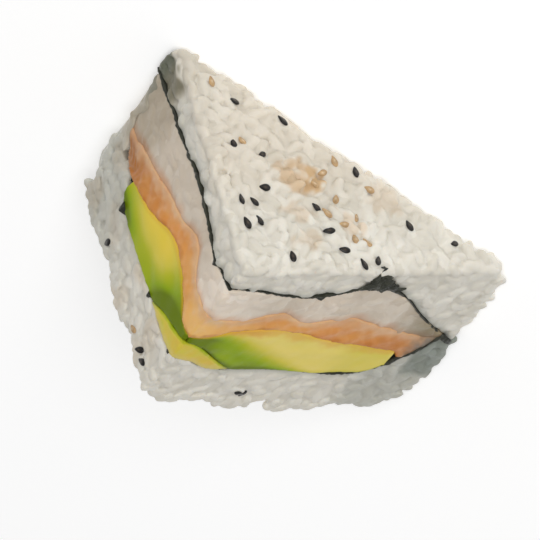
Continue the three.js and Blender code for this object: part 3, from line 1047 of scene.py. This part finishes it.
def finishMaterial(material, grain, colour, roughness, bump, gloss=0.4, subsurface=()):
    # Roughness is one value, or a span from speck to speck; bump is its strength and its distance
    tree = material.node_tree
    if isinstance(roughness, tuple):
        roughness = mapRange(tree, grain.outputs["Speck"], 0.3, 0.7, *roughness)
    relief = addNode(tree, "Bump", {"Strength": bump[0], "Distance": bump[1],
                                    "Height": grain.outputs["Height"]})
    inputs = dict(zip(("Subsurface Weight", "Subsurface Radius", "Subsurface Scale"), subsurface))
    inputs.update({"Base Color": colour, "Roughness": roughness, "Specular IOR Level": gloss,
                   "Normal": relief.outputs["Normal"]})
    plug(tree, tree.nodes["Principled BSDF"], inputs)
    return material


def riceMaterial(name, tints, creviceShade, stain, shade):
    # Each grain has its own tone, with painted shade in the hollows between grains; stains tint it, and that
    # tint also carries part of the painted shade; the shade tint darkens it where it lies thin over dark
    # sheet or is less white, and is painted shade where it lies in shadow
    material, tree, grain = startMaterial(name, 240.0, 1500.0)
    colour = ramp(tree, mapRange(tree, readAttribute(tree, "tone"), -1.8, 1.8),
                  [(0.0, tints[0]), (0.5, tints[1]), (1.0, tints[2])])
    mottle = mapRange(tree, grain.outputs["Mottle"], 0.35, 0.65, 0.0, 0.35)
    colour = mixColours(tree, mottle, colour, linear(tints[0]))
    # Painted shade in the hollows between grains, by their relief
    colour = tint(tree, colour, "relief", creviceShade, (-0.05, -0.6, 0.48))
    colour = tint(tree, colour, "stain", stain, blend="MULTIPLY")
    colour = tint(tree, colour, "shade", shade, blend="MULTIPLY")
    return finishMaterial(material, grain, colour, (0.34, 0.5), (0.16, 0.0002),
                          subsurface=(0.4, (1.0, 0.88, 0.7), 0.0014))


def sheetMaterial():
    material, tree, grain = startMaterial("seaweed", 420.0, 2600.0)
    colour = ramp(tree, grain.outputs["Mottle"], [(0.3, (36, 38, 30)), (0.7, (66, 67, 55))])
    return finishMaterial(material, grain, colour, (0.35, 0.65), (0.5, 0.0004))


def salmonMaterial():
    # Pale toward the rice, deeper inside, with faint bands of muscle; the deeper orange along the underside
    # is painted shade along the join with the avocado, and the grey at the left cut's far end is painted
    # shade
    material, tree, grain = startMaterial("salmonFlesh", 120.0, 900.0)
    colour = ramp(tree, readAttribute(tree, "reach"), [
        (0.0, (248, 198, 118)), (0.22, (234, 170, 90)), (0.5, (232, 158, 80)), (0.82, (212, 142, 70)),
        (0.95, (184, 122, 68)), (1.0, (176, 124, 80))])
    colour = tint(tree, colour, "rise", (228, 190, 150), (0.5, 1.0, 0.82))
    # Painted shade: deeper orange along the underside, at the join with the avocado
    colour = tint(tree, colour, "rise", (196, 118, 34), (0.22, -0.02, 0.6))
    # Painted shade at the left cut's far end
    colour = tint(tree, colour, "dull", (136, 124, 108))
    colour = tint(tree, colour, "band", (244, 196, 142), (0.0, 1.0, 0.1))
    streaks = ramp(tree, grain.outputs["Mottle"], [(0.36, (214, 160, 116)), (0.6, (255, 255, 255))])
    colour = mixColours(tree, 0.3, colour, streaks, "MULTIPLY")
    return finishMaterial(material, grain, colour, (0.3, 0.45), (0.22, 0.0003), 0.25,
                          (0.3, (1.0, 0.5, 0.3), 0.0015))


def avocadoMaterial(name, flesh):
    # Yellow flesh that turns olive and then green toward the skin side
    material, tree, grain = startMaterial(name, 130.0, 1000.0)
    green = mathNode(tree, "MULTIPLY_ADD", grain.outputs["Mottle"], 0.12, readAttribute(tree, "green"))
    colour = ramp(tree, mathNode(tree, "SUBTRACT", green, 0.06), [
        (0.0, flesh), (0.3, (218, 204, 78)), (0.52, (186, 190, 46)), (0.8, (146, 172, 22)),
        (1.0, (108, 128, 12))])
    colour = tint(tree, colour, "warm", (226, 166, 66))
    colour = tint(tree, colour, "faded", (216, 204, 152))
    return finishMaterial(material, grain, colour, (0.3, 0.44), (0.16, 0.0003), 0.08,
                          (0.25, (0.8, 0.75, 0.25), 0.0012))


def seedMaterial(name, rim, heart):
    material, tree, grain = startMaterial(name, 900.0, 4000.0)
    inner = mapRange(tree, readAttribute(tree, "heart"), 0.35, 0.95)
    colour = mixColours(tree, inner, linear(rim), linear(heart))
    shade = ramp(tree, grain.outputs["Mottle"], [(0.3, (200, 200, 200)), (0.7, (255, 255, 255))])
    colour = mixColours(tree, 1.0, colour, shade, "MULTIPLY")
    return finishMaterial(material, grain, colour, 0.32, (0.2, 0.0001))


def dress(piece, material, slot, *nodes):
    piece.data.materials.clear()
    piece.data.materials.append(material)
    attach(piece, "root")
    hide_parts(*nodes)


# Each rice finish: tints, painted shade of the hollows, stains, and the shade tint, which is mostly painted
# shade
outerRiceFinish = riceMaterial("outerRice", ((216, 211, 198), (225, 220, 208), (232, 228, 217)),
                               (162, 155, 138), (232, 200, 160), (124, 140, 138))
innerRiceFinish = riceMaterial("innerRiceTint", ((230, 215, 197), (239, 225, 208), (246, 234, 219)),
                               (196, 177, 153), (242, 176, 116), (160, 155, 136))
seaweedFinish = sheetMaterial()
salmonFinish = salmonMaterial()

# Faint tan and peach patches of the front face: along the right cut, along the left cut, radius, strength
frontStains = [(26, 21, 6.5, 0.75), (25, 26, 4.0, 1.0), (28, 17, 3.5, 0.6), (17, 20, 4.5, 0.35),
               (9, 20, 4.5, 0.3), (13, 33, 4.0, 0.4), (44, 30, 7.0, 0.3), (20, 44, 6.0, 0.3)]

riceFront = makeOuterRice("riceFront", True, 5)
points, alongRight, alongLeft, depth, down, across = slabPlace(riceFront)
# Painted shade: faint near the right cut from 36 mm along it, and dark on the front rice's strip of that cut
# at its far end
farStrip = smoothStep(6.2, 4.4, depth + 0.6 * noiseField(points, 4.0, 66)) * smoothStep(4, 2, alongLeft)
shade = 0.08 * smoothStep(36, 46, alongRight) * smoothStep(9, 4, alongLeft)
shade = shade + (0.74 * smoothStep(49.5, 53.5, alongRight) + 0.2 * smoothStep(57, 61, alongRight)) * farStrip
# Painted shade along the front sheet's line at both cuts
nearCut = smoothStep(2.0, 0.6, np.minimum(alongRight, alongLeft))
lowBand = smoothStep(3.6, 0.6, depth - frontSheet(down, across)) * nearCut
stain = 0.14 * smoothStep(12, 30, alongRight)
for placeRight, placeLeft, spread, strength in frontStains:
    away = np.hypot(alongRight - placeRight, alongLeft - placeLeft) + 1.6 * noiseField(points, 5.0, 64)
    stain = np.maximum(stain, strength * smoothStep(spread, spread * 0.35, away))
# Painted shade on the far strip, given as a greyer tint through the stains channel
farStripShadeTint = 0.6 * smoothStep(49.5, 53.5, alongRight) * farStrip
mark(riceFront, shade=np.maximum(shade, 0.38 * lowBand),
     stain=np.maximum(stain * smoothStep(4.0, 7.0, depth), farStripShadeTint))
dress(riceFront, outerRiceFinish, "outer_rice", "rice_front")
print("front rice", len(riceFront.data.polygons))

riceBack = makeOuterRice("riceBack", False, 6)
points, alongRight, alongLeft, depth, down, across = slabPlace(riceBack)
# Darker at the left cut's far end, where the rice lies thin over dark sheet, together with painted shade
# there
shade = 0.38 * smoothStep(51, 59, alongLeft)
shade = shade + 0.42 * smoothStep(65, 68.5, alongLeft) * smoothStep(-42, -38, depth)
shade = shade * smoothStep(9, 2, alongRight)
# Painted shade along the right cut toward its far end, and in the wrap zone
shade = np.maximum(shade, 0.32 * smoothStep(18, 52, alongRight) * smoothStep(8, 1, alongLeft))
wrap = wrapZone(alongRight, alongLeft, depth)
shade = np.maximum(shade, 0.42 * wrap + 0.32 * wrap * smoothStep(-12, -7, depth))
# Painted shade on the back rice just under the left avocado slice, along the back sheet's line
underSlice = smoothStep(2.6, 0.3, backSheet(down, across) - depth) * smoothStep(2.0, 0.6, alongRight)
underSlice = underSlice * (0.34 + 0.3 * smoothStep(50, 55, alongLeft))
underSlice = underSlice * smoothStep(10, 18, alongLeft) * smoothStep(62, 58, alongLeft)
stain = 0.25 * smoothStep(0.1, 0.9, noiseField(points, 16.0, 65))
mark(riceBack, shade=np.maximum(shade, underSlice),
     stain=np.maximum(stain * smoothStep(0, 14, alongRight), 0.4 * wrap))
dress(riceBack, outerRiceFinish, "outer_rice", "rice_back")
print("back rice", len(riceBack.data.polygons))

innerRice = makeInnerRice(7)
points, alongRight, alongLeft, depth, down, across = slabPlace(innerRice)
aboveSalmon = depth - salmonTop(down, across) + 0.6 * noiseField(points, 7.0, 71, 1)
tinted = (0.46 + 0.2 * smoothStep(2, 12, alongRight)) * smoothStep(3.6, 0.0, aboveSalmon)
# Painted shade at the far ends of both cuts
shade = 0.44 * smoothStep(42, 51, alongRight) + 0.12 * smoothStep(54, 58, alongRight)
shade = np.maximum(shade, smoothStep(50, 66, alongLeft))
# Painted light near the upper corner and on the left cut's face about 30 mm along it, where the painted
# shade over the rest is left off
paintedLight = np.maximum(smoothStep(18, 2, np.maximum(alongRight, alongLeft)),
                  0.6 * smoothStep(7, 2, np.abs(alongLeft - 30)) * smoothStep(3, 1, alongRight))
# Painted shade over all the inner rice except the painted light, with the far ends' painted shade on top
mark(innerRice, stain=tinted, shade=np.clip(0.31 * (1 - paintedLight) + 0.725 * shade, 0, 1))
dress(innerRice, innerRiceFinish, "inner_rice", "rice_inner")
print("inner rice", len(innerRice.data.polygons))

# Seaweed sheets: how far the edge stands out of each cut at the stations, and the folds of each cut,
# each by its place, its spread, how far it stands out, how far it lifts and how much it swells
seaweed = {
    "front": {
        "edge": ([-0.4, -0.4, -0.25, -0.1, -0.1, -0.15, -0.15, -0.15, -0.1, 0.0],
                 [-0.45, -0.45, -0.4, -0.1, 0.0, -0.1, -0.1, -0.2, -0.2, -0.2]),
        "folds": ([(9, 0.8, 0.4, -0.4, 0.4), (24, 0.9, 0.5, 0.7, 0.5), (31, 0.9, 0.5, 0.8, 0.5),
                   (37, 0.8, 0.4, 0.4, 0.4), (46, 0.7, 0.4, 0.5, 0.3), (54, 6.0, 0.2, -0.1, 0.06)],
                  [(27, 0.9, 0.4, -0.3, 0.4), (44, 2.5, 0.3, 0.3, 0.3)]),
    },
    "back": {
        "edge": ([-0.7, -0.7, -0.7, -0.7, -0.7, -0.8, -1.0, -1.7, -2.4, -2.4],
                 [-0.7, -0.7, -0.6, -0.55, -0.45, -0.3, -0.15, -0.1, 0.1, 0.2]),
        "folds": ([(2, 1.2, 0.7, 0.0, 0.3), (18, 0.9, 1.0, 0.0, 0.4), (42, 1.5, 1.7, 0.3, 1.2)],
                  [(61.8, 1.0, 0.5, 0.8, 0.7), (66, 1.5, 0.3, 0.1, 0.4), (71, 2.6, 0.6, 0.3, 1.0)]),
    },
    # The torn flap that lies over the front rice at the left cut: its two lower corners and its tip,
    # each by distance along the cut, depth and how far it stands out
    "flap": {"right": (48.0, 0.1, 0.1), "left": (34.8, 1.2, 0.3), "tip": (38.0, 9.6, -1.0),
             "belly": 0.9, "ragged": 0.75, "thickness": 0.35},
}


def makeFlap():
    # A grid drawn out to a torn triangle, laid over the cut and bent round the edge of the rice
    settings = seaweed["flap"]
    bpy.ops.mesh.primitive_grid_add(x_subdivisions=26, y_subdivisions=34, size=1)
    flap = bpy.context.object
    points = readPoints(flap)
    side, rise = points[:, 0] + 0.5, points[:, 1] + 0.5
    foot = [settings["right"][k] + (settings["left"][k] - settings["right"][k]) * side for k in range(3)]
    narrow = 1 - (1 - rise) ** 0.75
    alongLeft, depth, out = (foot[k] + (settings["tip"][k] - foot[k]) * narrow for k in range(3))
    alongLeft += (side - 0.5) * 1.6 * rise
    out = out + settings["belly"] * np.sin(np.pi * np.clip(rise * 1.15, 0, 1))
    ragged = settings["ragged"] * noiseField(toFrame(alongLeft, depth, rise * 6), 2.2, 78, 3)
    alongLeft += ragged * np.abs(side - 0.5) * 2
    depth = depth + ragged * 0.6
    x = downLeft[0] * alongLeft - downRight[0] * out
    z = height + downLeft[1] * alongLeft - downRight[1] * out
    placed = toFrame(x, depth, z)
    crumple = noiseField(placed, 3.0, 77, 2)
    placed += np.array([-downRight[0] * 0.3, -0.15, -downRight[1] * 0.3]) * crumple[:, None] * mm
    writePoints(flap, placed)
    applyModifier(flap, "SOLIDIFY", thickness=settings["thickness"] * mm, offset=0.0)
    cleanNormals(flap)
    return flap


def joinInto(piece, others):
    pickOnly(piece)
    for other in others:
        other.select_set(True)
    bpy.ops.object.join()


for name, level, slot, seed in (("noriFront", frontSheet, "front", 31), ("noriBack", backSheet, "back", 33)):
    sheet = makeSheet(name, level, slab[slot + "Sheet"], *seaweed[slot].values(), seed)
    if slot == "front":
        joinInto(sheet, [makeFlap()])
    dress(sheet, seaweedFinish, "nori", "nori_" + slot)
print("seaweed sheets")

salmon = makeFilling("salmonSlice", lambda d, a: salmonTop(d, a) + slab["seam"],
                     lambda d, a: salmonUnder(d, a) - slab["seam"] / 2, (0, 0.98), (0, 1),
                     voxel=0.42, seed=41, bulge=0.0, rough=0.14, size=6.0)
points, alongRight, alongLeft, depth, down, across = slabPlace(salmon)
under, top = salmonUnder(down, across), salmonTop(down, across)
# The last value marks painted shade at the left cut's far end
mark(salmon, rise=(depth - under) / (top - under) + 0.08 * noiseField(points, 5.0, 70),
     reach=np.clip(down / 0.93 * (1.15 - 0.2 * across), 0, 1),
     band=np.sin((alongRight + alongLeft) * 1.5 + depth * 0.8 + 2.2 * noiseField(points, 8.0, 72)),
     dull=smoothStep(61, 67, alongLeft + 0.8 * noiseField(points, 4.0, 83)) * smoothStep(4, 1.5, alongRight))
dress(salmon, salmonFinish, "salmon", "salmon")
print("salmon")


def sliceTop(down, across):
    return salmonUnder(down, across) + slab["seam"] / 2


def sliceUnder(down, across):
    low = cornerTop(down, across)
    floor = fillingFloor(down, across)
    return np.where(low > floor + 0.1, low + slab["touch"], floor)


def sliceRise(depth, down, across):
    # Share of the way from a long slice's underside to its top
    under, top = sliceUnder(down, across), sliceTop(down, across)
    return (depth - under) / np.maximum(top - under, 0.5)


avocadoRight = makeFilling("avocadoRight", sliceTop, sliceUnder, (0.02, 0.74), (0, 0.495),
                           voxel=0.4, seed=43, bulge=0.12, rough=0.1, size=9.0)
points, alongRight, alongLeft, depth, down, across = slabPlace(avocadoRight)
rise = sliceRise(depth, down, across)
green = 0.72 * (1 - smoothStep(0.0, 0.9, rise)) + 0.95 * smoothStep(25, 5, alongRight)
green = green + 0.42 * smoothStep(31, 43, alongRight) + 0.05 * noiseField(points, 12.0, 73)
mark(avocadoRight, green=np.clip(green, 0, 1), warm=0.5 * smoothStep(0.86, 1.0, rise))
dress(avocadoRight, avocadoMaterial("avocadoRightFlesh", (240, 212, 78)), "avocado", "avocado_right")

avocadoLeft = makeFilling("avocadoLeft", sliceTop, sliceUnder, (0.02, 0.83), (0.505, 1),
                          voxel=0.4, seed=45, bulge=0.12, rough=0.1, size=9.0)
points, alongRight, alongLeft, depth, down, across = slabPlace(avocadoLeft)
rise = sliceRise(depth, down, across)
diagonal = alongLeft + 32 * (rise - 0.2)
green = 0.8 * smoothStep(41, 22, diagonal) + 0.25 * smoothStep(15, 5, alongLeft)
# Greener along the underside: the flesh next to the skin, and painted shade along its join with the back
# rice
green = green + 0.25 * smoothStep(0.15, 0.0, rise) + 0.16 * smoothStep(38, 50, alongLeft)
green = green + 0.05 * noiseField(points, 12.0, 74)
warm = smoothStep(0.74, 0.98, rise + 0.05 * noiseField(points, 6.0, 76))
mark(avocadoLeft, green=np.clip(green, 0, 1), warm=(0.55 + 0.3 * smoothStep(26, 16, alongLeft)) * warm)
dress(avocadoLeft, avocadoMaterial("avocadoLeftFlesh", (240, 219, 118)), "avocado", "avocado_left")

avocadoCorner = makeFilling("avocadoCorner", cornerTop, fillingFloor, (0, 0.27), (0, 1),
                            voxel=0.4, seed=47, bulge=0.15, rough=0.1, size=6.0)
points, alongRight, alongLeft, depth, down, across = slabPlace(avocadoCorner)
green = 0.16 + 0.5 * smoothStep(1.6, 0.0, cornerTop(down, across) - depth)
low = depth - fillingFloor(down, across) + 0.3 * noiseField(points, 3.0, 80)
mark(avocadoCorner, green=np.clip(green + 0.1 * noiseField(points, 6.0, 75), 0, 1),
     warm=0.1 * smoothStep(-0.2, 0.8, noiseField(points, 9.0, 79)), faded=0.45 * smoothStep(2.6, 0.2, low))
dress(avocadoCorner, avocadoMaterial("avocadoCornerFlesh", (226, 196, 84)), "avocado", "avocado_corner")
print("avocado slices")

# Sesame: distance along the right cut, along the left cut, turn, for the front and the back face;
# for the cuts the distance along the cut, the depth and the turn
sesame = {
    "size": {"length": 3.0, "width": 1.75, "height": 0.95},
    "sunk": 0.18,
    "blackSesame": {
        "front": [(2.8, 37, 1.3), (13, 4, 0.5), (14, 8, 0.3), (20, 5, 0.9), (19.5, 8.5, 0.2),
                  (23, 12, -0.6), (4, 14, 0.8), (6, 29, -0.4), (11, 26, -0.7), (18, 25, 0.1),
                  (35, 7, 0.7), (32, 14, -1.2), (2, 33, 0.4), (41, 22, 0.3), (27, 38, 1.0),
                  (47, 11, -0.4), (12, 48, 0.7), (8, 60, -0.9)],
        "back": [(3, 8, 0.2), (9, 3, 1.1), (22, 2, 0.4), (38, 3, -0.5), (4, 27, 0.8), (16, 14, -0.2),
                 (10, 40, 1.4), (30, 20, 0.3), (24, 31, -0.9), (46, 12, 0.6), (14, 56, 0.1)],
        "rightCut": [(6, -43.6, 0.6), (9, -43.2, 0.9), (38.6, -43.4, 1.3)],
        "leftCut": [(27.2, -48.2, 0.5), (28.6, -48.8, 1.9)],
    },
    "toastedSesame": {
        "front": [(16, 27, 0.4), (13, 31, -0.5), (20, 31, 1.2), (24, 26, 0.2), (9, 33, 0.9),
                  (27, 29, -1.0), (8, 36, 0.1), (15, 35, 1.4), (36, 10, 0.5), (30, 33, 0.7),
                  (22, 40, -0.3), (52, 6, 0.8)],
        "back": [(12, 22, 0.5), (28, 8, -0.6), (34, 26, 1.1), (7, 52, 0.3)],
        "rightCut": [(14.6, -43, 0.3)],
        "leftCut": [],
    },
}


def seedTemplate():
    # A drop with a pinched tip, and on its upper side a faint dent
    size = sesame["size"]
    points, faces = stretchedBall(size, 14, 10)
    reach = points[:, 2] / (size["length"] / 2)
    points[:, :2] *= (1 - 0.42 * smoothStep(-0.4, 1.1, reach))[:, None]
    radius = np.hypot(points[:, 0] / (size["width"] / 2), points[:, 2] / (size["length"] / 2))
    heart = np.clip(1 - radius * 1.15, 0, 1)
    points[:, 1] *= 1 - 0.35 * heart
    return points[:, [2, 0, 1]], faces, heart


seedPoints, seedFaces, seedHeart = seedTemplate()


def seedSpots(kind):
    # Start of a ray well outside, its direction inward, and the seed's lying direction
    spots = []
    for places, side, start in ((kind["front"], 1, 60), (kind["back"], -1, -80)):
        for alongRight, alongLeft, turn in places:
            x = alongRight * downRight[0] + alongLeft * downLeft[0]
            z = height + alongRight * downRight[1] + alongLeft * downLeft[1]
            spots.append((toFrame(x, start, z), (0, float(side), 0), (math.cos(turn), 0, -math.sin(turn))))
    for along, toward, leg, name in cuts:
        for distance, depth, turn in kind[name]:
            place = np.array([0, height]) + along * distance - toward * 20
            start = toFrame(place[0], depth, place[1])
            lying = (along[0] * math.cos(turn), math.sin(turn), along[1] * math.cos(turn))
            spots.append((start, (toward[0], 0, toward[1]), lying))
    return spots


def makeSeeds(name, spots, carriers, seed):
    source = np.random.default_rng(seed)
    trees = [mathutils.bvhtree.BVHTree.FromObject(carrier, bpy.context.evaluated_depsgraph_get())
             for carrier in carriers]
    points, faces, hearts = [], [], []
    for start, direction, lying in spots:
        hits = []
        direction = Vector(direction)
        for offset in ((0, 0), (0.8, 0), (-0.8, 0), (0, 0.6), (0, -0.6)):
            sideways = direction.cross(Vector(lying)).normalized()
            origin = Vector(start) + (Vector(lying) * offset[0] + sideways * offset[1]) * mm
            found = [hit for hit in (tree.ray_cast(origin, direction) for tree in trees) if hit[0]]
            if found:
                hits.append(min(found, key=lambda hit: hit[3]))
        if not hits:
            continue
        place = sum((hit[0] for hit in hits), Vector()) / len(hits)
        normal = (sum((hit[1] for hit in hits), Vector()) / len(hits) - direction * 0.6).normalized()
        length = (Vector(lying) - normal * normal.dot(Vector(lying))).normalized()
        width = normal.cross(length)
        scale = source.uniform(0.88, 1.1)
        roll = source.uniform(-0.25, 0.25)
        normal, width = normal + width * roll, width - normal * roll
        place = place - normal * (sesame["sunk"] - sesame["size"]["height"] * 0.32) * mm
        axes = np.array([length, width.normalized(), normal.normalized()]) * scale * mm
        faces.append(seedFaces + len(points) * len(seedPoints))
        points.append(seedPoints @ axes + np.array(place))
        hearts.append(seedHeart)
    piece = newPiece(name, np.concatenate(points), np.concatenate(faces))
    mark(piece, heart=np.concatenate(hearts))
    piece.data.shade_smooth()
    return piece


for name, slot, seed, colours in (
        ("blackSesame", "black_sesame", 81, ((20, 16, 12), (74, 62, 50))),
        ("toastedSesame", "toasted_sesame", 82, ((204, 168, 122), (230, 204, 166)))):
    spots = seedSpots(sesame[name])
    seeds = makeSeeds(name, spots, (riceFront, riceBack), seed)
    dress(seeds, seedMaterial(name + "Coat", *colours), slot, "rice_front", "rice_back")
    print(name, len(spots))

# Floor, sky and lamp
studio = {
    "sky": 0.45,
    "floorColour": (250, 250, 250),
    "floorGlow": 0.28,
    "key": {"toward": (0.03, -0.75, 0.8), "size": 1.25, "distance": 1.6, "power": 11.8},
}


def makeStudio():
    bpy.ops.mesh.primitive_plane_add(size=6)
    floor = bpy.context.object
    floor.name = "floor"
    material = bpy.data.materials.new("paleFloor")
    material.use_nodes = True
    tree = material.node_tree
    white = (1, 1, 1, 1)
    plug(tree, tree.nodes["Principled BSDF"], {
        "Base Color": linear(studio["floorColour"]), "Roughness": 0.9, "Specular IOR Level": 0.4,
        "Emission Color": white, "Emission Strength": studio["floorGlow"]})
    floor.data.materials.append(material)
    world = bpy.data.worlds.new("paleSky")
    bpy.context.scene.world = world
    world.use_nodes = True
    tree = world.node_tree
    plug(tree, tree.nodes["Background"], {"Color": white, "Strength": studio["sky"]})
    key = studio["key"]
    direction = Vector(key["toward"]).normalized()
    data = bpy.data.lights.new("key", "AREA")
    data.shape = "DISK"
    data.size = key["size"]
    data.energy = key["power"]
    lamp = bpy.data.objects.new("key", data)
    lamp.location = direction * key["distance"]
    lamp.rotation_euler = direction.to_track_quat("Z", "Y").to_euler()
    bpy.context.collection.objects.link(lamp)
    bpy.context.scene.view_settings.view_transform = "Standard"


makeStudio()
print("studio")
